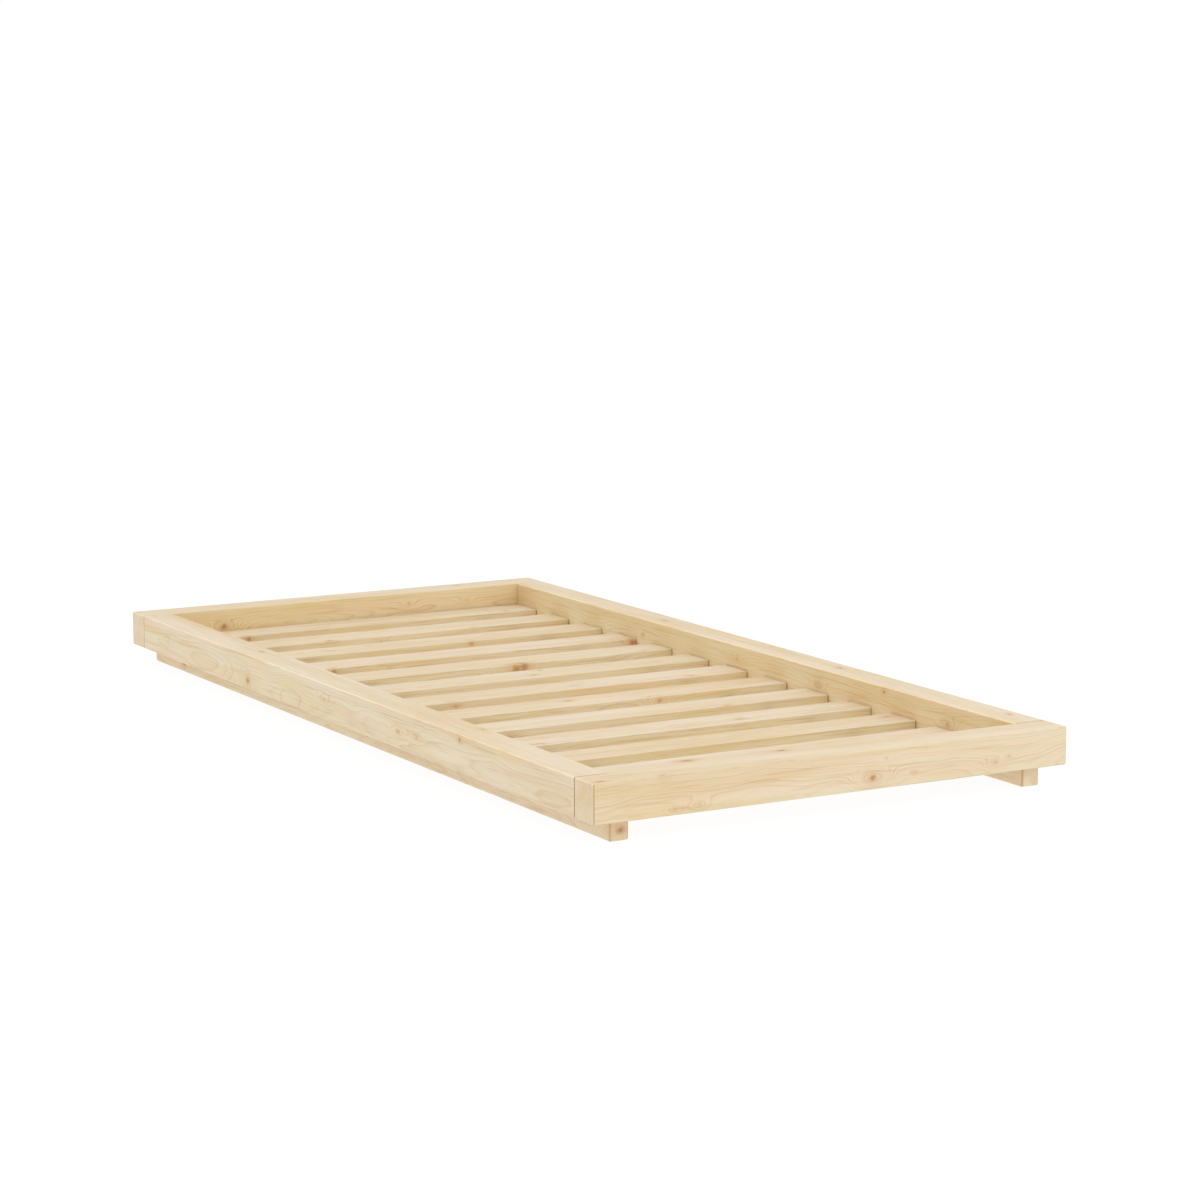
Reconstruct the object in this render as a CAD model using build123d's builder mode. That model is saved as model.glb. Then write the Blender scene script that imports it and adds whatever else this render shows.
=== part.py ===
from build123d import *
import os

# A low pine bed frame: four square timbers round a mattress well, two runners under the
# side rails that carry the frame and the slats, and a roll-out base of slats on two tapes.
# Millimetres. +X is the sleeper's right, +Y points to the head end, +Z is up.
# The origin is on the floor, under the middle of the frame.

# ---- Mattress well: the clear opening between the four timbers ----
well_width = 900
well_length = 2000

# ---- Timbers round the well ----
timber_thickness = 70
timber_height = 75
timber_edge_radius = 3
butt_chamfer = 0.8

# ---- Runners ----
runner_width = 40
runner_height = 40
runner_edge_radius = 5
runner_end_inset = 24
ledge_width = 16

# ---- Slats ----
slat_count = 13
slat_width = 90
slat_thickness = 25
slat_edge_radius = 2
slat_end_chamfer = 0.6
slat_side_clearance = 2
slat_end_clearance = 10

# ---- Tapes and staples that hold the slats together ----
tape_width = 30
tape_thickness = 1.2
tape_inset = 150
tape_tail = 12
staple_crown = 12
staple_wire = 1.2
staple_leg_depth = 10
staple_offset = 22
staple_slit_clearance = 0.1

# ---- Corner dowels ----
dowel_diameter = 12
dowel_length = 60
dowel_end_chamfer = 1.5
dowel_clearance = 0.1
dowel_end_room = 1
dowel_spread = 34

# ---- Bolts up through the runners, and the sleeves they screw into ----
bolt_diameter = 6
bolt_clearance = 0.5
bolt_head_diameter = 10
bolt_head_height = 6
bolt_socket_size = 5
bolt_socket_depth = 3
bolt_end_chamfer = 0.8
bolt_seat_depth = 12.6
bolt_seat_clearance = 0.5
washer_diameter = 12.5
washer_thickness = 1.6
washer_hole_clearance = 0.2
insert_diameter = 10
insert_length = 16
insert_flange_diameter = 13
insert_flange_thickness = 1.5
insert_clearance = 0.05
insert_end_room = 3
thread_clearance = 0.05
rail_bolt_count = 4
rail_bolt_margin = 120

# ---- Places worked out from the sizes above ----
bed_width = well_width + 2 * timber_thickness
bed_length = well_length + 2 * timber_thickness
timber_middle_z = runner_height + timber_height / 2
rail_x = well_width / 2 + timber_thickness / 2
board_y = well_length / 2 + timber_thickness / 2

runner_length = bed_length - 2 * runner_end_inset
runner_x = well_width / 2 - ledge_width + runner_width / 2

slat_length = well_width - 2 * slat_side_clearance
slat_room = well_length - 2 * slat_end_clearance
slat_pitch = (slat_room - slat_width) / (slat_count - 1)
slat_first_y = -slat_room / 2 + slat_width / 2
slat_places = [slat_first_y + i * slat_pitch for i in range(slat_count)]

tape_x = well_width / 2 - tape_inset
tape_length = slat_room - 2 * tape_tail
tape_bottom_z = runner_height - tape_thickness
staple_bottom_z = tape_bottom_z - staple_wire
slit_size = staple_wire + 2 * staple_slit_clearance
slit_x = staple_crown / 2 - staple_wire / 2
staple_places = [y + step for y in slat_places for step in (-staple_offset, staple_offset)]

dowel_bore_radius = dowel_diameter / 2 + dowel_clearance
dowel_bore_depth = dowel_length / 2 + dowel_end_room
dowel_heights = [timber_middle_z - dowel_spread / 2, timber_middle_z + dowel_spread / 2]

washer_bottom_z = bolt_seat_depth - washer_thickness
bolt_head_z = washer_bottom_z - bolt_head_height
bolt_shank_length = washer_thickness + runner_height - bolt_seat_depth + insert_length
seat_radius = washer_diameter / 2 + bolt_seat_clearance
bolt_passage_radius = bolt_diameter / 2 + bolt_clearance
insert_bore_radius = insert_diameter / 2 + insert_clearance
insert_bore_depth = insert_length + insert_end_room
flange_seat_radius = insert_flange_diameter / 2 + insert_clearance

# The bolts stand in the middle of the strip where a runner lies under a rail. The end ones
# stand in the middle of the strip where it lies under an end board.
runner_outer_x = runner_x + runner_width / 2
bolt_x = (well_width / 2 + runner_outer_x) / 2
board_bolt_y = (well_length / 2 + runner_length / 2) / 2
rail_bolt_first_y = -well_length / 2 + rail_bolt_margin
rail_bolt_pitch = (well_length - 2 * rail_bolt_margin) / (rail_bolt_count - 1)
rail_bolt_places = [rail_bolt_first_y + i * rail_bolt_pitch for i in range(rail_bolt_count)]
bolt_places = [-board_bolt_y] + rail_bolt_places + [board_bolt_y]

sides = {"left": -1, "right": 1}
ends = {"foot": -1, "head": 1}

os.makedirs("parts", exist_ok=True)


def finish(piece, name):
    """Names a finished piece and writes it."""
    piece.part.label = name
    export_step(piece.part, f"parts/{name}.step")


def facing(x, y, z, direction):
    """A plane at a point on a face, looking out of the face."""
    return Plane(origin=(x, y, z), z_dir=direction)


def end_board(end):
    """A full-width timber across one end, bored for the dowels and the bolt sleeves."""
    with BuildPart() as board:
        with BuildSketch(Plane.YZ):
            with Locations((end * board_y, timber_middle_z)):
                Rectangle(timber_thickness, timber_height)
        extrude(amount=bed_width / 2, both=True)
        fillet(board.edges(), timber_edge_radius)
        inner_y = end * well_length / 2
        for side in sides.values():
            with Locations(*[facing(side * rail_x, inner_y, z, (0, -end, 0)) for z in dowel_heights]):
                Hole(dowel_bore_radius, depth=dowel_bore_depth)
            with Locations(facing(side * bolt_x, end * board_bolt_y, runner_height, (0, 0, -1))):
                CounterBoreHole(
                    insert_bore_radius, flange_seat_radius, insert_flange_thickness, insert_bore_depth
                )
    return board


def side_rail(side):
    """A timber along one side, butted between the end boards and stood on its runner."""
    with BuildPart() as rail:
        with BuildSketch(Plane.XZ):
            with Locations((side * rail_x, timber_middle_z)):
                Rectangle(timber_thickness, timber_height)
        extrude(amount=well_length / 2, both=True)
        fillet(rail.edges().filter_by(Axis.Y), timber_edge_radius)
        chamfer(rail.faces().filter_by(Axis.Y).edges(), butt_chamfer)
        for end in ends.values():
            end_y = end * well_length / 2
            with Locations(*[facing(side * rail_x, end_y, z, (0, end, 0)) for z in dowel_heights]):
                Hole(dowel_bore_radius, depth=dowel_bore_depth)
        with Locations(*[facing(side * bolt_x, y, runner_height, (0, 0, -1)) for y in rail_bolt_places]):
            CounterBoreHole(
                insert_bore_radius, flange_seat_radius, insert_flange_thickness, insert_bore_depth
            )
    return rail


def runner(side):
    """A square batten under one rail: the foot of the frame, and the ledge for the slats."""
    with BuildPart() as batten:
        with BuildSketch(Plane.XZ):
            with Locations((side * runner_x, runner_height / 2)):
                Rectangle(runner_width, runner_height)
        extrude(amount=runner_length / 2, both=True)
        fillet(batten.edges(), runner_edge_radius)
        with Locations(*[facing(side * bolt_x, y, 0, (0, 0, -1)) for y in bolt_places]):
            CounterBoreHole(bolt_passage_radius, seat_radius, bolt_seat_depth)
    return batten


def slat(middle_y):
    """One planed slat, eased along its edges, with slits for the staples underneath."""
    with BuildPart() as board:
        with BuildSketch(Plane.YZ):
            with Locations((middle_y, runner_height + slat_thickness / 2)):
                Rectangle(slat_width, slat_thickness)
        extrude(amount=slat_length / 2, both=True)
        fillet(board.edges().filter_by(Axis.X), slat_edge_radius)
        chamfer(board.faces().filter_by(Axis.X).edges(), slat_end_chamfer)
        with BuildSketch(Plane.XY.offset(runner_height)):
            for side in sides.values():
                with Locations((side * tape_x, middle_y)):
                    with GridLocations(2 * slit_x, 2 * staple_offset, 2, 2):
                        Rectangle(slit_size, slit_size)
        extrude(amount=staple_leg_depth + staple_slit_clearance, mode=Mode.SUBTRACT)
    return board


def tape(side):
    """A webbing tape under the slats, pierced where the staples go through."""
    with BuildPart() as band:
        with BuildSketch(Plane.XY.offset(tape_bottom_z)):
            with Locations((side * tape_x, 0)):
                Rectangle(tape_width, tape_length)
            for y in staple_places:
                with Locations((side * tape_x - slit_x, y), (side * tape_x + slit_x, y)):
                    Rectangle(slit_size, slit_size, mode=Mode.SUBTRACT)
        extrude(amount=tape_thickness)
    return band


def staples(side):
    """Two staples for each slat: a crown under the tape and two legs up into the slat."""
    with BuildPart() as wires:
        with BuildSketch(Plane.XY.offset(staple_bottom_z)):
            with Locations(*[(side * tape_x, y) for y in staple_places]):
                Rectangle(staple_crown, staple_wire)
        extrude(amount=staple_wire)
        with BuildSketch(Plane.XY.offset(staple_bottom_z)):
            for y in staple_places:
                with Locations((side * tape_x - slit_x, y), (side * tape_x + slit_x, y)):
                    Rectangle(staple_wire, staple_wire)
        extrude(amount=staple_wire + tape_thickness + staple_leg_depth)
    return wires


def dowels(side, end):
    """The pair of dowels across one corner, half in the rail and half in the end board."""
    with BuildPart() as pegs:
        with BuildSketch(Plane.XZ.offset(-end * well_length / 2)):
            with Locations(*[(side * rail_x, z) for z in dowel_heights]):
                Circle(dowel_diameter / 2)
        extrude(amount=dowel_length / 2, both=True)
        chamfer(pegs.edges().filter_by(GeomType.CIRCLE), dowel_end_chamfer)
    return pegs


def bolts(side):
    """Socket-head bolts up through one runner, their heads sunk in its underside."""
    places = [(side * bolt_x, y) for y in bolt_places]
    with BuildPart() as screws:
        with BuildSketch(Plane.XY.offset(washer_bottom_z)):
            with Locations(*places):
                Circle(bolt_diameter / 2)
        extrude(amount=bolt_shank_length)
        chamfer(screws.faces().filter_by(Axis.Z).group_by(Axis.Z)[-1].edges(), bolt_end_chamfer)
        with BuildSketch(Plane.XY.offset(bolt_head_z)):
            with Locations(*places):
                Circle(bolt_head_diameter / 2)
        extrude(amount=bolt_head_height)
        with BuildSketch(Plane.XY.offset(bolt_head_z)):
            with Locations(*places):
                RegularPolygon(bolt_socket_size / 2, 6, major_radius=False)
        extrude(amount=bolt_socket_depth, mode=Mode.SUBTRACT)
    return screws


def washers(side):
    """A flat washer between each bolt head and its seat in the runner."""
    with BuildPart() as rings:
        with BuildSketch(Plane.XY.offset(washer_bottom_z)):
            with Locations(*[(side * bolt_x, y) for y in bolt_places]):
                Circle(washer_diameter / 2)
                Circle(bolt_diameter / 2 + washer_hole_clearance, mode=Mode.SUBTRACT)
        extrude(amount=washer_thickness)
    return rings


def inserts(side):
    """Flanged threaded sleeves set into the underside of a rail and of both end boards."""
    places = [(side * bolt_x, y) for y in bolt_places]
    with BuildPart() as sleeves:
        with BuildSketch(Plane.XY.offset(runner_height)):
            with Locations(*places):
                Circle(insert_diameter / 2)
        extrude(amount=insert_length)
        with BuildSketch(Plane.XY.offset(runner_height)):
            with Locations(*places):
                Circle(insert_flange_diameter / 2)
        extrude(amount=insert_flange_thickness)
        with BuildSketch(Plane.XY.offset(runner_height)):
            with Locations(*places):
                Circle(bolt_diameter / 2 + thread_clearance)
        extrude(amount=insert_length, mode=Mode.SUBTRACT)
    return sleeves


# ---- The four timbers and the two runners ----
for end_name, end in ends.items():
    finish(end_board(end), f"{end_name}_board")
for side_name, side in sides.items():
    finish(side_rail(side), f"{side_name}_side_rail")
    finish(runner(side), f"{side_name}_runner")

# ---- The roll-out slat base, numbered from the foot end ----
for number, middle_y in enumerate(slat_places, start=1):
    finish(slat(middle_y), f"slat_{number:02d}")
for side_name, side in sides.items():
    finish(tape(side), f"{side_name}_slat_tape")
    finish(staples(side), f"{side_name}_tape_staples")

# ---- Fixings ----
for side_name, side in sides.items():
    for end_name, end in ends.items():
        finish(dowels(side, end), f"{end_name}_{side_name}_dowels")
    finish(bolts(side), f"{side_name}_runner_bolts")
    finish(washers(side), f"{side_name}_runner_washers")
    finish(inserts(side), f"{side_name}_bolt_inserts")
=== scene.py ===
import bpy
import math
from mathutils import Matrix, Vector


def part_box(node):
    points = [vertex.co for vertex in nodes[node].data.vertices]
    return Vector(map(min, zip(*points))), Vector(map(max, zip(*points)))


# Looks for the low pine bed frame: camera, light, floor, and a solid-wood pine for every board.
# Metres. The CAD nodes are the shapes; this script gives them their surfaces.
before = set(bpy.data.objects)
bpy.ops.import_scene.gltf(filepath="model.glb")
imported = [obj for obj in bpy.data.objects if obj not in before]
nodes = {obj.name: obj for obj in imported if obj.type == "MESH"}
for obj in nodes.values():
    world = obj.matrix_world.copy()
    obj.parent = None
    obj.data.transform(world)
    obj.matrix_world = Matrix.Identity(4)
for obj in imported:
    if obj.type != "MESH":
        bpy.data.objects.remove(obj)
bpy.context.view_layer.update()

# ---- Camera, given from the middle of the bed on the floor ----
CAMERA_PLACE = Vector((-3.36, -6.035, 1.368))
CAMERA_TURN = math.radians(29.88)
CAMERA_DIP = math.radians(9.19)
CAMERA_LENS = 100.0

# ---- Floor and light ----
FLOOR_SIZE = 60.0
FLOOR_COLOUR = (0.10, 0.10, 0.10)
FLOOR_GLOW = 0.92
SKY_STRENGTH = 1.0
SKY_COLOUR = (1.0, 1.01, 1.035, 1.0)
KEY_PLACE = Vector((0.6, -4.2, 4.4))
KEY_SIZE = 3.0
KEY_POWER = 46.0

# ---- Pine colours, linear ----
EARLYWOOD = (0.740, 0.600, 0.410)
PALE_SAP = (0.775, 0.665, 0.500)
LATEWOOD = (0.545, 0.345, 0.175)
PINK_TINT = (1.010, 0.985, 0.960)
GREEN_TINT = (0.985, 1.0, 0.955)
WARM_PATCH = (0.985, 0.94, 0.83)
KNOT_BODY = (0.47, 0.26, 0.11)
KNOT_CORE = (0.33, 0.165, 0.075)
KNOT_HALO = (0.64, 0.41, 0.20)
JOINT_SHADE = (0.50, 0.345, 0.21)
# Painted highlight on the top arrises along the bed that face sideways
PAINTED_EDGE_HIGHLIGHT = (1.20, 1.20, 1.20)
# Painted shade on the timbers' inner faces, which face into the well, and on the slats' narrow edges
PAINTED_INNER_SHADE = (1.02, 0.98, 0.83)
PAINTED_SLAT_EDGE_SHADE = (0.90, 0.85, 0.73)
PLAIN_TINT = (1.0, 1.0, 1.0)
# The foot board's front is a little deeper than the other outer faces
FRONT_TINT = (0.985, 0.965, 0.935)

# Where the side rails begin, from the middle of the bed
WELL_HALF_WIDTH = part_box("right_side_rail")[0][0]

# Below, a SCALE is how fast noise changes per metre: along a board, across it and up it. A RANGE
# is the two values between which something fades in or out.

# ---- Rings ----
# How far a trunk's pith line wanders from side to side along a board
PITH_WANDER = 0.045
WANDER_SCALE = (2.1, 0.0, 0.0)
RIPPLE_SCALE = (3.4, 30.0, 30.0)
WAVER_SCALE = (11.0, 110.0, 110.0)
# Good and bad years change the rings' widths, so this one runs outward from the pith
YEARS_SCALE = (50.0, 0.0, 0.0)
# How many rings each of them moves the pattern by
RIPPLE_RINGS = 1.5
WAVER_RINGS = 0.6
YEARS_RINGS = 2.2
# Darkness through one ring, from early wood to late wood
RING_PROFILE = [(0.0, 0.0), (0.45, 0.04), (0.74, 0.35), (0.90, 1.0), (0.96, 1.0), (1.0, 0.1)]
FAINTEST_RING = 0.25
LINE_STRENGTH = 0.46
LINE_GAIN_AT_KNOTS = 45.0
LINE_STRONGEST = 0.92

# ---- Tone, strands, fibres and resin marks ----
BROAD_SCALE = (1.6, 16.0, 16.0)
BROAD_RANGE = (0.35, 0.65)
HUE_SCALE = (1.3, 60.0, 60.0)
HUE_RANGE = (0.38, 0.62)
PATCH_SCALE = (3.2, 34.0, 34.0)
PATCH_RANGE = (0.46, 0.66)
STRAND_SCALE = (6.0, 210.0, 210.0)
DARK_STRAND_RANGE = (0.52, 0.70)
PALE_STRAND_RANGE = (0.46, 0.34)
DARK_STRAND = 0.36
PALE_STRAND = 0.30
RESIN_SCALE = (45.0, 1400.0, 1400.0)
RESIN_RANGE = (0.70, 0.80)
RESIN_DEPTH = 0.25
FIBRE_SCALE = (14.0, 800.0, 800.0)
# How much paler the palest fibres are than the darkest, and the darkest fibre's shade
FIBRE_CONTRAST = 0.16
FIBRE_SHADE = 0.93

# ---- Faces ----
# A surface's normal along an axis: for a whole face, and for the chamfers between faces
FACE_RANGE = (0.45, 0.9)
END_RANGE = (0.55, 0.95)
# Where the painted highlight falls on the top arrises that face sideways
EDGE_HIGHLIGHT_RANGE = (0.15, 0.45)
# Where the painted shade falls on the upright arrises at the ends
CORNER_SHADE_RANGE = (0.15, 0.40)
RAIL_END_RANGE = (0.30, 0.60)
BUTT_RANGE = (0.50, 0.80)
# How much deeper end grain is, and how much painted shade darkens the upright arrises at the ends
END_DEPTH = 0.02
PAINTED_CORNER_SHADE = 0.75

# ---- Gloss and relief ----
WOOD_SHINE = 0.32
WOOD_ROUGHNESS = 0.56
# How late wood, fibres and knots change the roughness
LATE_ROUGH = -0.10
FIBRE_ROUGH = 0.12
KNOT_ROUGH = -0.14
# How late wood, fibres and resin marks stand up or sink
LATE_RELIEF = 0.35
FIBRE_RELIEF = 0.5
RESIN_RELIEF = -0.5
WOOD_BUMP = (0.35, 0.0004)

# ---- Knots ----
# A knot's mark fades out between these depths under its face
KNOT_SKIN = (0.010, 0.030)
# How far the grain is disturbed, in knot radii: along the board and across it
KNOT_REACH = (5.5, 2.1)
KNOT_PUSH = 0.75
# How far rings are lifted, in knot radii: always, and more for a dark knot
KNOT_LIFT = (0.8, 1.1)
# Length over width, on the sides and on the top
KNOT_SLENDER = (1.3, 2.2)
# Where the body and the stain round it fade out, in knot radii
KNOT_EDGE = (0.30, 1.35)
STAIN_EDGE = (0.7, 3.4)
STAIN_STRENGTH = 0.5
RAGGED_SCALE = (150.0, 150.0, 150.0)
# The outline moves in and out by up to half of this, in knot radii
RAGGED_SPAN = 1.5
# The rings inside a knot: radians for each radius, and how their tone swings about a middle
KNOT_TURNS = 12.0
KNOT_SWING = 0.16
KNOT_MIDDLE = 0.2
CORE_RANGE = (-0.1, 0.65)
CORE_STRENGTH = 0.85
# Further than any knot's mark reaches, in knot radii
FAR_FROM_KNOTS = 9.0
# Where a knot is too deep to show, it counts as this many radii further off
HIDDEN_KNOT = 6.0


class Tree:
    """A short way to write a material's nodes. Most methods give back an output socket."""

    def __init__(self, name):
        self.material = bpy.data.materials.new(name)
        self.material.use_nodes = True
        self.nodes = self.material.node_tree.nodes
        self.links = self.material.node_tree.links
        self.nodes.clear()
        self.output = self.nodes.new("ShaderNodeOutputMaterial")
        self.shader = self.nodes.new("ShaderNodeBsdfPrincipled")
        self.links.new(self.shader.outputs["BSDF"], self.output.inputs["Surface"])

    def feed(self, socket, value):
        if isinstance(value, bpy.types.NodeSocket):
            self.links.new(value, socket)
        else:
            socket.default_value = value

    def set(self, **values):
        for name, value in values.items():
            self.feed(self.shader.inputs[name.replace("_", " ")], value)

    def math(self, operation, *values):
        node = self.nodes.new("ShaderNodeMath")
        node.operation = operation
        for socket, value in zip(node.inputs, values):
            self.feed(socket, value)
        return node.outputs[0]

    def smooth(self, value, start, end, low=0.0, high=1.0):
        node = self.nodes.new("ShaderNodeMapRange")
        node.interpolation_type = "SMOOTHSTEP"
        for socket, item in zip(node.inputs, (value, start, end, low, high)):
            self.feed(socket, item)
        return node.outputs[0]

    def place(self):
        return self.split(self.nodes.new("ShaderNodeTexCoord").outputs["Object"])

    def facing(self):
        return self.split(self.nodes.new("ShaderNodeTexCoord").outputs["Normal"])

    def split(self, vector):
        node = self.nodes.new("ShaderNodeSeparateXYZ")
        self.links.new(vector, node.inputs[0])
        return tuple(node.outputs)

    def vector(self, *parts):
        node = self.nodes.new("ShaderNodeCombineXYZ")
        for socket, value in zip(node.inputs, parts):
            self.feed(socket, value)
        return node.outputs[0]

    def stretched(self, parts, scales, shift):
        """A coordinate scaled differently along each direction, and shifted by a seed."""
        return self.vector(*[self.math("MULTIPLY_ADD", p, s, shift) for p, s in zip(parts, scales)])

    def noise(self, vector, detail, roughness):
        node = self.nodes.new("ShaderNodeTexNoise")
        self.links.new(vector, node.inputs["Vector"])
        node.inputs["Scale"].default_value = 1.0
        node.inputs["Detail"].default_value = detail
        node.inputs["Roughness"].default_value = roughness
        return node

    def pattern(self, parts, scales, seed=0.0, detail=2.0, roughness=0.5):
        """One value of noise, stretched by a scale along each direction."""
        return self.noise(self.stretched(parts, scales, seed), detail, roughness).outputs["Fac"]

    def squares(self, first, second):
        """The sum of two squares."""
        return self.math("ADD", self.math("POWER", first, 2.0), self.math("POWER", second, 2.0))

    def random(self, value):
        node = self.nodes.new("ShaderNodeTexWhiteNoise")
        node.noise_dimensions = "1D"
        self.feed(node.inputs["W"], value)
        return node.outputs["Value"]

    def levels(self, value, stops):
        """A grey level for each value, from a list of (value, level)."""
        node = self.nodes.new("ShaderNodeValToRGB")
        elements = node.color_ramp.elements
        while len(elements) < len(stops):
            elements.new(0.5)
        for element, (position, level) in zip(elements, stops):
            element.position = position
            element.color = (level, level, level, 1.0)
        self.feed(node.inputs[0], value)
        return node.outputs[0]

    def mix(self, factor, first, second, blend="MIX"):
        node = self.nodes.new("ShaderNodeMix")
        node.data_type = "RGBA"
        node.blend_type = blend
        sockets = {s.identifier: s for s in node.inputs}
        self.feed(sockets["Factor_Float"], factor)
        for socket, colour in (("A_Color", first), ("B_Color", second)):
            self.feed(sockets[socket], (*colour, 1.0) if isinstance(colour, tuple) else colour)
        return {s.identifier: s for s in node.outputs}["Result_Color"]

    def tinted(self, colour, tint):
        return self.mix(1.0, colour, tint, "MULTIPLY")

    def shaded(self, colour, shade):
        return self.tinted(colour, self.vector(shade, shade, shade))

    def toward(self, amount, strength, colour, other):
        """The colour, moved toward another one by an amount times a strength."""
        return self.mix(self.math("MULTIPLY", amount, strength), colour, other)

    def bump(self, height, strength, distance):
        node = self.nodes.new("ShaderNodeBump")
        node.inputs["Strength"].default_value = strength
        node.inputs["Distance"].default_value = distance
        self.links.new(height, node.inputs["Height"])
        self.links.new(node.outputs[0], self.shader.inputs["Normal"])


# ---- Pine ----
# A board is cut from a trunk: rings round a pith line that runs beside it and wanders. A knot is
# a branch that comes out through one face, and the grain flows round it.
# A knot is (face, along, across, radius, depth of colour). Its place is a share of the board's
# length from the left or foot end, then a share of the face's width from its low side. On an end
# face the first share runs across the board.
def knot_axes(face, along, grain, low, high):
    """The coordinate into a face, where the face is, and its two other coordinates with their axes."""
    u, v, w = grain
    long_axis, side_axis = (0, 1) if along == "X" else (1, 0)
    if face in ("top", "under"):
        surface = (high if face == "top" else low)[2]
        return w, surface, (u, long_axis), (v, side_axis)
    if face == "end":
        return u, low[long_axis], (v, side_axis), (w, 2)
    surface = (low if face in ("left", "foot") else high)[side_axis]
    return v, surface, (u, long_axis), (w, 2)


def ring_place(tree, along, place, low, high, knots, ragged):
    """The coordinates that the rings see, pushed aside round the knots, and the knots' own marks."""
    x, y, z = place
    u, v, w = (x, y, z) if along == "X" else (y, x, z)
    nearest = FAR_FROM_KNOTS
    lift = inside = halo = 0.0
    for face, along_share, across_share, radius, depth_of_colour in knots:
        flat = face in ("top", "under")
        depth, surface, lengthwise, crosswise = knot_axes(face, along, (u, v, w), low, high)
        length, length_axis = lengthwise
        cross, cross_axis = crosswise
        below = tree.math("ABSOLUTE", tree.math("SUBTRACT", depth, surface))
        shown = tree.smooth(below, *KNOT_SKIN, 1.0, 0.0)
        at = low[length_axis] + along_share * (high - low)[length_axis]
        across = low[cross_axis] + across_share * (high - low)[cross_axis]
        step = tree.math("SUBTRACT", length, at)
        side = tree.math("SUBTRACT", cross, across)

        # The grain round the knot is pushed aside, and its rings are lifted
        reach = tree.math("DIVIDE", step, KNOT_REACH[0] * radius)
        spread = tree.math("DIVIDE", side, KNOT_REACH[1] * radius)
        swell = tree.math("EXPONENT", tree.math("MULTIPLY", tree.squares(reach, spread), -1.0))
        swell = tree.math("MULTIPLY", swell, shown)
        moved = tree.math("MULTIPLY", tree.math("MULTIPLY", side, swell), KNOT_PUSH)
        if flat:
            v = tree.math("SUBTRACT", v, moved)
        else:
            w = tree.math("SUBTRACT", w, moved)
        knot_lift = (KNOT_LIFT[0] + KNOT_LIFT[1] * depth_of_colour) * radius
        lift = tree.math("MULTIPLY_ADD", swell, knot_lift, lift)

        # The knot's own body and the stain round it
        slender = KNOT_SLENDER[1] if flat else KNOT_SLENDER[0]
        round_step = tree.math("DIVIDE", step, slender * radius)
        round_side = tree.math("DIVIDE", side, radius)
        away = tree.math("SQRT", tree.squares(round_step, round_side))
        away = tree.math("ADD", away, ragged)
        body = tree.math("MULTIPLY", tree.smooth(away, *KNOT_EDGE, depth_of_colour, 0.0), shown)
        stain = tree.smooth(away, *STAIN_EDGE, STAIN_STRENGTH * depth_of_colour, 0.0)
        stain = tree.math("MULTIPLY", stain, shown)
        inside = tree.math("MAXIMUM", inside, body)
        halo = tree.math("MAXIMUM", halo, stain)
        away = tree.math("ADD", away, tree.math("MULTIPLY_ADD", shown, -HIDDEN_KNOT, HIDDEN_KNOT))
        nearest = tree.math("MINIMUM", nearest, away)
    return (u, v, w), lift, nearest, inside, halo


def late_wood(tree, grain, lift, along, middle, pith, ring_gap, seed):
    """How much each point belongs to a ring's dark late wood."""
    u, v, w = grain
    wander = tree.split(tree.noise(tree.stretched((u, u, u), WANDER_SCALE, seed), 2.0, 0.5).outputs["Color"])
    middle_v = middle[1] if along == "X" else middle[0]
    pith_v = tree.math("MULTIPLY_ADD", wander[0], PITH_WANDER, middle_v + pith[0] - PITH_WANDER / 2)
    pith_w = tree.math("MULTIPLY_ADD", wander[1], PITH_WANDER, middle[2] + pith[1] - PITH_WANDER / 2)
    from_pith = tree.squares(tree.math("SUBTRACT", v, pith_v), tree.math("SUBTRACT", w, pith_w))
    radius = tree.math("ADD", tree.math("SQRT", from_pith), lift)
    ripple = tree.pattern(grain, RIPPLE_SCALE, seed + 3.1, detail=2.0, roughness=0.55)
    waver = tree.pattern(grain, WAVER_SCALE, seed + 6.3, detail=1.0)
    years = tree.pattern((radius, radius, radius), YEARS_SCALE, seed + 7.7, detail=1.0)
    ring = tree.math("DIVIDE", radius, ring_gap)
    for change, rings in ((ripple, RIPPLE_RINGS), (waver, WAVER_RINGS), (years, YEARS_RINGS)):
        ring = tree.math("MULTIPLY_ADD", change, rings, ring)
    line = tree.levels(tree.math("FRACT", ring), RING_PROFILE)
    weight = tree.random(tree.math("FLOOR", ring))
    weight = tree.math("MULTIPLY_ADD", weight, 1.0 - FAINTEST_RING, FAINTEST_RING)
    return tree.math("MULTIPLY", line, weight)


def board_colour(tree, grain, lift, late, resin, figure, seed):
    """Slow changes of tone along the board, then its ring lines, strands and resin marks."""
    broad = tree.pattern(grain, BROAD_SCALE, seed + 5.5)
    hue = tree.pattern(grain, HUE_SCALE, seed + 9.4)
    patch = tree.pattern(grain, PATCH_SCALE, seed + 4.6, detail=3.0, roughness=0.6)
    strand = tree.pattern(grain, STRAND_SCALE, seed + 2.2, detail=3.0, roughness=0.65)
    colour = tree.mix(tree.smooth(broad, *BROAD_RANGE), EARLYWOOD, PALE_SAP)
    colour = tree.tinted(colour, tree.mix(tree.smooth(hue, *HUE_RANGE), PINK_TINT, GREEN_TINT))
    colour = tree.mix(tree.smooth(patch, *PATCH_RANGE), colour, tree.tinted(colour, WARM_PATCH))
    strength = tree.math("MULTIPLY_ADD", lift, LINE_GAIN_AT_KNOTS, LINE_STRENGTH)
    strength = tree.math("MINIMUM", strength, LINE_STRONGEST)
    colour = tree.toward(late, strength, colour, LATEWOOD)
    colour = tree.toward(tree.smooth(strand, *DARK_STRAND_RANGE), DARK_STRAND * figure, colour, LATEWOOD)
    colour = tree.toward(tree.smooth(strand, *PALE_STRAND_RANGE), PALE_STRAND, colour, PALE_SAP)
    return tree.toward(resin, RESIN_DEPTH, colour, LATEWOOD)


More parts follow.
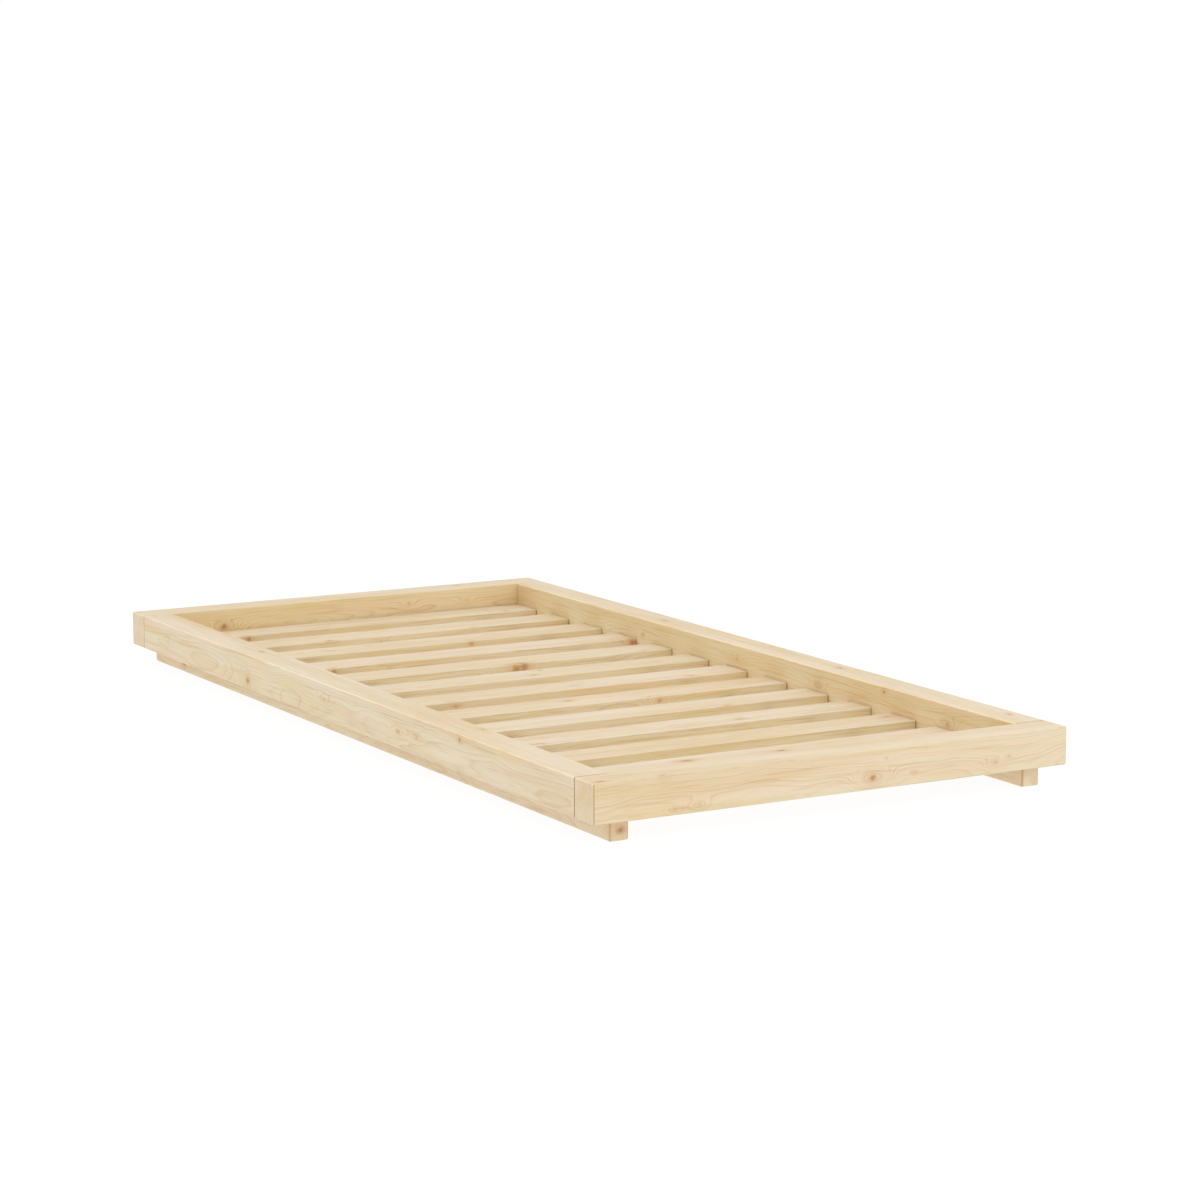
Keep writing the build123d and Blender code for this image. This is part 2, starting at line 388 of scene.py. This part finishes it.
def shade_faces(tree, node_name, along, place, colour, deep):
    """Deeper faces, painted top-arris highlight, end grain, painted shade on upright arrises and joints."""
    normal = tree.facing()
    size = [tree.math("ABSOLUTE", part) for part in normal]
    # Faces tinted deeper by their direction: on inner faces and slat edges this is painted shade
    for axis, direction, depth_tint in deep:
        facing = tree.math("MULTIPLY", normal[axis], direction) if direction else size[axis]
        colour = tree.mix(tree.smooth(facing, *FACE_RANGE), colour, tree.tinted(colour, depth_tint))
    # Painted highlight on the top arrises that face sideways
    sideways = tree.smooth(size[0], *EDGE_HIGHLIGHT_RANGE)
    painted_highlight = tree.math("MULTIPLY", sideways, tree.smooth(normal[2], *EDGE_HIGHLIGHT_RANGE))
    colour = tree.mix(painted_highlight, colour, tree.tinted(colour, PAINTED_EDGE_HIGHLIGHT))
    along_face = size[0 if along == "X" else 1]
    if node_name.endswith("side_rail"):
        colour = tree.mix(tree.smooth(along_face, *RAIL_END_RANGE), colour, JOINT_SHADE)
    else:
        colour = tree.toward(tree.smooth(along_face, *END_RANGE), END_DEPTH, colour, LATEWOOD)
        # Painted shade on the upright arrises at the ends
        sideways = tree.smooth(size[0], *CORNER_SHADE_RANGE)
        corner = tree.math("MULTIPLY", sideways, tree.smooth(size[1], *CORNER_SHADE_RANGE))
        colour = tree.toward(corner, PAINTED_CORNER_SHADE, colour, LATEWOOD)
    if node_name.endswith("board"):
        beyond = tree.math("GREATER_THAN", tree.math("ABSOLUTE", place[0]), WELL_HALF_WIDTH)
        facing_rail = tree.smooth(tree.math("MULTIPLY", normal[1], deep[0][1]), *BUTT_RANGE)
        colour = tree.toward(beyond, facing_rail, colour, JOINT_SHADE)
    return colour


def stain_knots(tree, colour, nearest, inside, halo):
    """Knots: a stained surround, then a ringed body with a darker core."""
    turns = tree.math("SINE", tree.math("MULTIPLY", nearest, KNOT_TURNS))
    body = tree.mix(tree.math("MULTIPLY_ADD", turns, KNOT_SWING, KNOT_MIDDLE), KNOT_BODY, KNOT_HALO)
    body = tree.mix(tree.smooth(nearest, *CORE_RANGE, CORE_STRENGTH, 0.0), body, KNOT_CORE)
    colour = tree.mix(halo, colour, KNOT_HALO)
    return tree.mix(inside, colour, body)


def pine(node_name, along, pith, ring_gap, knots, seed, tint=PLAIN_TINT, deep=(), figure=1.0):
    """A pine material for one board, cut from a trunk of its own.

    Each item of deep is (axis, direction, colour): the faces that look that way are deeper by that
    colour, which on inner faces and slat edges is painted shade. A direction of 0 means both ways.
    An end board's first item is for its inner face.
    figure is how strongly the dark strands show.
    """
    tree = Tree("pine_" + node_name)
    low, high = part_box(node_name)
    place = tree.place()
    ragged = tree.pattern(place, RAGGED_SCALE, seed, detail=3.0, roughness=0.6)
    ragged = tree.math("MULTIPLY_ADD", ragged, RAGGED_SPAN, -RAGGED_SPAN / 2)
    grain, lift, nearest, inside, halo = ring_place(tree, along, place, low, high, knots, ragged)
    late = late_wood(tree, grain, lift, along, (low + high) / 2, pith, ring_gap, seed)
    fibre = tree.pattern(grain, FIBRE_SCALE, seed, detail=3.0, roughness=0.6)
    resin = tree.pattern(grain, RESIN_SCALE, seed + 1.3, detail=1.0)
    resin = tree.smooth(resin, *RESIN_RANGE)

    colour = board_colour(tree, grain, lift, late, resin, figure, seed)
    colour = tree.shaded(colour, tree.math("MULTIPLY_ADD", fibre, FIBRE_CONTRAST, FIBRE_SHADE))
    colour = tree.tinted(colour, tint)
    colour = shade_faces(tree, node_name, along, place, colour, deep)
    if knots:
        colour = stain_knots(tree, colour, nearest, inside, halo)

    rough = tree.math("MULTIPLY_ADD", late, LATE_ROUGH, WOOD_ROUGHNESS)
    rough = tree.math("MULTIPLY_ADD", fibre, FIBRE_ROUGH, rough)
    rough = tree.math("MULTIPLY_ADD", inside, KNOT_ROUGH, rough)
    height = tree.math("MULTIPLY_ADD", late, LATE_RELIEF, tree.math("MULTIPLY", fibre, FIBRE_RELIEF))
    height = tree.math("MULTIPLY_ADD", resin, RESIN_RELIEF, height)
    tree.bump(height, *WOOD_BUMP)
    tree.set(Base_Color=colour, Roughness=rough)
    tree.shader.inputs["Specular IOR Level"].default_value = WOOD_SHINE
    return tree.material


def dress(node_name, material):
    piece = nodes[node_name]
    piece.data.materials.clear()
    piece.data.materials.append(material)


TIMBER_KNOTS = {
    "foot_board": [
        ("foot", 0.57, 0.30, 0.0072, 0.78),
        ("foot", 0.60, 0.75, 0.0030, 0.25),
        ("foot", 0.66, 0.30, 0.0034, 0.20),
        ("foot", 0.84, 0.30, 0.0042, 0.34),
        ("foot", 0.87, 0.40, 0.0034, 0.28),
        ("foot", 0.21, 0.20, 0.0040, 0.30),
        ("foot", 0.16, 0.15, 0.0034, 0.26),
        ("top", 0.02, 0.20, 0.0042, 1.1),
        ("top", 0.14, 0.10, 0.0036, 0.7),
    ],
    "head_board": [
        ("foot", 0.19, 0.45, 0.0075, 1.0),
        ("foot", 0.65, 0.65, 0.0050, 0.32),
        ("foot", 0.80, 0.60, 0.0045, 0.20),
        ("head", 0.60, 0.50, 0.0060, 0.9),
        ("head", 0.15, 0.25, 0.0045, 0.6),
        ("top", 0.80, 0.65, 0.0035, 0.7),
    ],
    "left_side_rail": [
        ("left", 0.71, 0.25, 0.0068, 0.85),
        ("left", 0.93, 0.50, 0.0045, 0.25),
        ("left", 0.22, 0.85, 0.0045, 0.75),
        ("left", 0.35, 0.45, 0.0065, 0.22),
        ("left", 0.31, 0.50, 0.0050, 0.28),
        ("left", 0.52, 0.55, 0.0060, 0.12),
        ("top", 0.72, 0.60, 0.0042, 0.7),
        ("top", 0.23, 0.85, 0.0035, 0.6),
        ("right", 0.60, 0.55, 0.0049, 0.8),
    ],
    "right_side_rail": [
        ("left", 0.11, 0.45, 0.0063, 0.45),
        ("left", 0.22, 0.85, 0.0042, 0.8),
        ("left", 0.34, 0.50, 0.0075, 0.30),
        ("left", 0.50, 0.60, 0.0035, 0.4),
        ("left", 0.70, 0.50, 0.0045, 0.5),
        ("top", 0.68, 0.45, 0.0042, 0.75),
        ("top", 0.33, 0.60, 0.0045, 0.7),
        ("top", 0.04, 0.65, 0.0042, 0.8),
        ("right", 0.75, 0.40, 0.0063, 0.9),
        ("right", 0.40, 0.65, 0.0042, 0.8),
    ],
    "left_runner": [
        ("left", 0.92, 0.50, 0.0060, 1.1),
        ("end", 0.55, 0.50, 0.0075, 0.85),
        ("right", 0.35, 0.60, 0.0042, 0.8),
    ],
    "right_runner": [
        ("left", 0.55, 0.55, 0.0042, 0.8),
        ("right", 0.20, 0.45, 0.0042, 0.8),
    ],
}
SLAT_KNOTS = {
    1: [("top", 0.70, 0.65, 0.0042, 0.9)],
    2: [("top", 0.33, 0.60, 0.0062, 1.2), ("top", 0.56, 0.50, 0.0050, 1.1)],
    3: [("top", 0.97, 0.70, 0.0038, 0.8), ("top", 0.30, 0.35, 0.0080, 0.12)],
    4: [("top", 0.67, 0.35, 0.0040, 0.8), ("top", 0.15, 0.20, 0.0070, 0.12)],
    5: [("top", 0.73, 0.10, 0.0038, 0.8), ("foot", 0.16, 0.50, 0.0060, 0.28)],
    6: [("foot", 0.65, 0.65, 0.0050, 0.8), ("top", 0.44, 0.60, 0.0045, 0.9),
        ("top", 0.63, 0.15, 0.0035, 0.6)],
    7: [("foot", 0.21, 0.65, 0.0052, 0.55), ("top", 0.85, 0.15, 0.0040, 0.8),
        ("top", 0.55, 0.45, 0.0080, 0.15)],
    8: [("top", 0.57, 0.80, 0.0035, 0.6), ("top", 0.53, 0.35, 0.0042, 0.8)],
    9: [("foot", 0.56, 0.60, 0.0088, 1.9), ("foot", 0.58, 0.65, 0.0078, 1.8),
        ("top", 0.93, 0.15, 0.0035, 0.7)],
    10: [("foot", 0.15, 0.70, 0.0055, 0.9), ("foot", 0.99, 0.65, 0.0075, 1.4),
         ("foot", 0.30, 0.40, 0.0080, 0.28)],
    11: [("foot", 0.62, 0.75, 0.0052, 0.8), ("top", 0.25, 0.50, 0.0038, 0.5)],
    12: [("top", 0.72, 0.10, 0.0038, 0.8), ("top", 0.31, 0.10, 0.0045, 0.9),
         ("foot", 0.45, 0.55, 0.0060, 0.3)],
    13: [("foot", 0.16, 0.70, 0.0058, 1.0), ("top", 0.92, 0.25, 0.0038, 0.8)],
}
# Slats with a stronger figure than the rest
SLAT_FIGURE = {1: 1.6, 4: 1.5, 10: 2.0, 13: 1.6}
PLAIN_SLAT_FIGURE = 1.2
# The way each timber runs, where its pith lies from its middle (across, up), its ring width, and
# its deeper faces; the inner faces get painted shade
TIMBER_CUT = {
    "foot_board": ("X", (0.074, -0.034), 0.0020, [(1, 1.0, PAINTED_INNER_SHADE), (1, -1.0, FRONT_TINT)]),
    "head_board": ("X", (-0.068, -0.012), 0.0026, [(1, -1.0, PAINTED_INNER_SHADE)]),
    "left_side_rail": ("Y", (0.072, -0.016), 0.0022, [(0, 1.0, PAINTED_INNER_SHADE)]),
    "right_side_rail": ("Y", (0.062, -0.026), 0.0023, [(0, -1.0, PAINTED_INNER_SHADE)]),
    "left_runner": ("Y", (0.038, -0.012), 0.0026, []),
    "right_runner": ("Y", (0.045, -0.025), 0.0028, []),
}
SLAT_RING = 0.0024
DOWEL_RING = 0.0012
DOWEL_PITH = (0.06, 0.05)
DOWEL_SEED = 90.0
# A board's seed: a start for its kind, and a step for each number
TIMBER_SEED = (11.0, 3.7)
SLAT_SEED = (40.0, 5.3)
# How far the slats' piths spread sideways, how deep they lie, and how much that depth varies
SLAT_PITH_SPREAD = 0.050
SLAT_PITH_DEPTH = -0.040
SLAT_PITH_DRIFT = 0.02
SLAT_TONE = 0.03
# How strongly a slat's tone shows in red, green and blue
TONE_SHARES = (0.3, 0.6, 1.6)
# Steps between slats, in radians, for the pith's side, its depth, and the tone
SLAT_STEPS = (2.3, 1.7, 3.9)
for number, (node_name, (along, pith, ring_gap, deep)) in enumerate(TIMBER_CUT.items()):
    seed = TIMBER_SEED[0] + TIMBER_SEED[1] * number
    dress(node_name, pine(node_name, along, pith, ring_gap, TIMBER_KNOTS[node_name], seed, deep=deep))
for number, knots in SLAT_KNOTS.items():
    node_name = f"slat_{number:02d}"
    pith_side = SLAT_PITH_SPREAD * math.sin(SLAT_STEPS[0] * number)
    pith_depth = SLAT_PITH_DEPTH - SLAT_PITH_DRIFT * math.cos(SLAT_STEPS[1] * number)
    tone = SLAT_TONE * math.sin(SLAT_STEPS[2] * number)
    tint = tuple(1.0 + share * tone for share in TONE_SHARES)
    # The slats' narrow edges get painted shade
    deep = [(1, 0.0, PAINTED_SLAT_EDGE_SHADE)]
    figure = SLAT_FIGURE.get(number, PLAIN_SLAT_FIGURE)
    seed = SLAT_SEED[0] + SLAT_SEED[1] * number
    pith = (pith_side, pith_depth)
    dress(node_name, pine(node_name, "X", pith, SLAT_RING, knots, seed, tint, deep, figure))


# ---- Fixings and tapes ----
CRYSTAL_SCALE = (900.0, 900.0, 900.0)
CLOUD_SCALE = (140.0, 140.0, 140.0)
CRYSTAL_ROUGH = 0.18
METAL_BUMP = (0.15, 0.0001)
COTTON = (0.74, 0.70, 0.60)
RIB_PITCH = 0.0016
PICK_PITCH = 0.0011
FUZZ_SCALE = (700.0, 700.0, 700.0)
FUZZ_RELIEF = 0.6
# The tape's shade without fuzz or weave, and how much each of them changes it
COTTON_SHADE = 0.86
FUZZ_SHADE = 0.16
WEAVE_SHADE = 0.07
COTTON_ROUGHNESS = 0.82
FUZZ_ROUGH = 0.1
COTTON_BUMP = (0.6, 0.0003)


def metal(name, colour, roughness, blotch):
    """Plated steel: fine crystals in the plating, and a little unevenness in its shine."""
    tree = Tree(name)
    place = tree.place()
    crystals = tree.pattern(place, CRYSTAL_SCALE)
    cloud = tree.pattern(place, CLOUD_SCALE)
    shade = tree.math("MULTIPLY_ADD", cloud, blotch, 1.0 - blotch / 2)
    smoothest = roughness - CRYSTAL_ROUGH / 2
    tree.set(
        Base_Color=tree.shaded(colour, shade),
        Roughness=tree.math("MULTIPLY_ADD", crystals, CRYSTAL_ROUGH, smoothest),
    )
    tree.shader.inputs["Metallic"].default_value = 1.0
    tree.bump(crystals, *METAL_BUMP)
    return tree.material


def webbing():
    """Undyed cotton tape: warp ribs along it, weft picks across it."""
    tree = Tree("webbing")
    place = tree.place()
    rib = tree.math("SINE", tree.math("MULTIPLY", place[0], 2 * math.pi / RIB_PITCH))
    pick = tree.math("SINE", tree.math("MULTIPLY", place[1], 2 * math.pi / PICK_PITCH))
    weave = tree.math("MULTIPLY", rib, pick)
    fuzz = tree.pattern(place, FUZZ_SCALE, detail=3.0)
    shade = tree.math("MULTIPLY_ADD", fuzz, FUZZ_SHADE, COTTON_SHADE)
    shade = tree.math("MULTIPLY_ADD", weave, WEAVE_SHADE, shade)
    tree.set(
        Base_Color=tree.shaded(COTTON, shade),
        Roughness=tree.math("MULTIPLY_ADD", fuzz, FUZZ_ROUGH, COTTON_ROUGHNESS),
    )
    tree.bump(tree.math("MULTIPLY_ADD", fuzz, FUZZ_RELIEF, weave), *COTTON_BUMP)
    return tree.material


zinc = metal("zinc_plate", (0.66, 0.68, 0.70), roughness=0.34, blotch=0.2)
yellow_zinc = metal("yellow_zinc_plate", (0.72, 0.58, 0.32), roughness=0.36, blotch=0.3)
wire = metal("galvanised_wire", (0.58, 0.58, 0.59), roughness=0.42, blotch=0.2)
tape = webbing()
for side in ("left", "right"):
    dress(f"{side}_runner_bolts", zinc)
    dress(f"{side}_runner_washers", zinc)
    dress(f"{side}_bolt_inserts", yellow_zinc)
    dress(f"{side}_tape_staples", wire)
    dress(f"{side}_slat_tape", tape)
    for end in ("foot", "head"):
        node_name = f"{end}_{side}_dowels"
        dress(node_name, pine(node_name, "Y", DOWEL_PITH, DOWEL_RING, [], DOWEL_SEED))


# ---- Floor, light and camera ----
def floor():
    bpy.ops.mesh.primitive_plane_add(size=FLOOR_SIZE)
    plane = bpy.context.object
    plane.name = "floor"
    tree = Tree("floor_pale")
    tree.set(Base_Color=(*FLOOR_COLOUR, 1.0), Roughness=0.9)
    tree.shader.inputs["Specular IOR Level"].default_value = 0.0
    tree.shader.inputs["Emission Color"].default_value = (1.0, 1.0, 1.0, 1.0)
    tree.shader.inputs["Emission Strength"].default_value = FLOOR_GLOW
    plane.data.materials.append(tree.material)


def light():
    scene = bpy.context.scene
    scene.world = bpy.data.worlds.new("studio")
    scene.world.use_nodes = True
    sky = scene.world.node_tree.nodes["Background"]
    sky.inputs["Color"].default_value = SKY_COLOUR
    sky.inputs["Strength"].default_value = SKY_STRENGTH
    key = bpy.data.lights.new("key", "AREA")
    key.shape = "SQUARE"
    key.size = KEY_SIZE
    key.energy = KEY_POWER
    lamp = bpy.data.objects.new("key", key)
    lamp.location = KEY_PLACE
    lamp.rotation_euler = (-KEY_PLACE).to_track_quat("-Z", "Y").to_euler()
    scene.collection.objects.link(lamp)
    scene.view_settings.view_transform = "Standard"


def camera():
    eye = bpy.data.cameras.new("camera")
    eye.lens = CAMERA_LENS
    eye.sensor_width = 36.0
    body = bpy.data.objects.new("camera", eye)
    body.location = CAMERA_PLACE
    body.rotation_euler = (math.pi / 2 - CAMERA_DIP, 0.0, -CAMERA_TURN)
    bpy.context.scene.collection.objects.link(body)
    bpy.context.scene.camera = body


floor()
light()
camera()
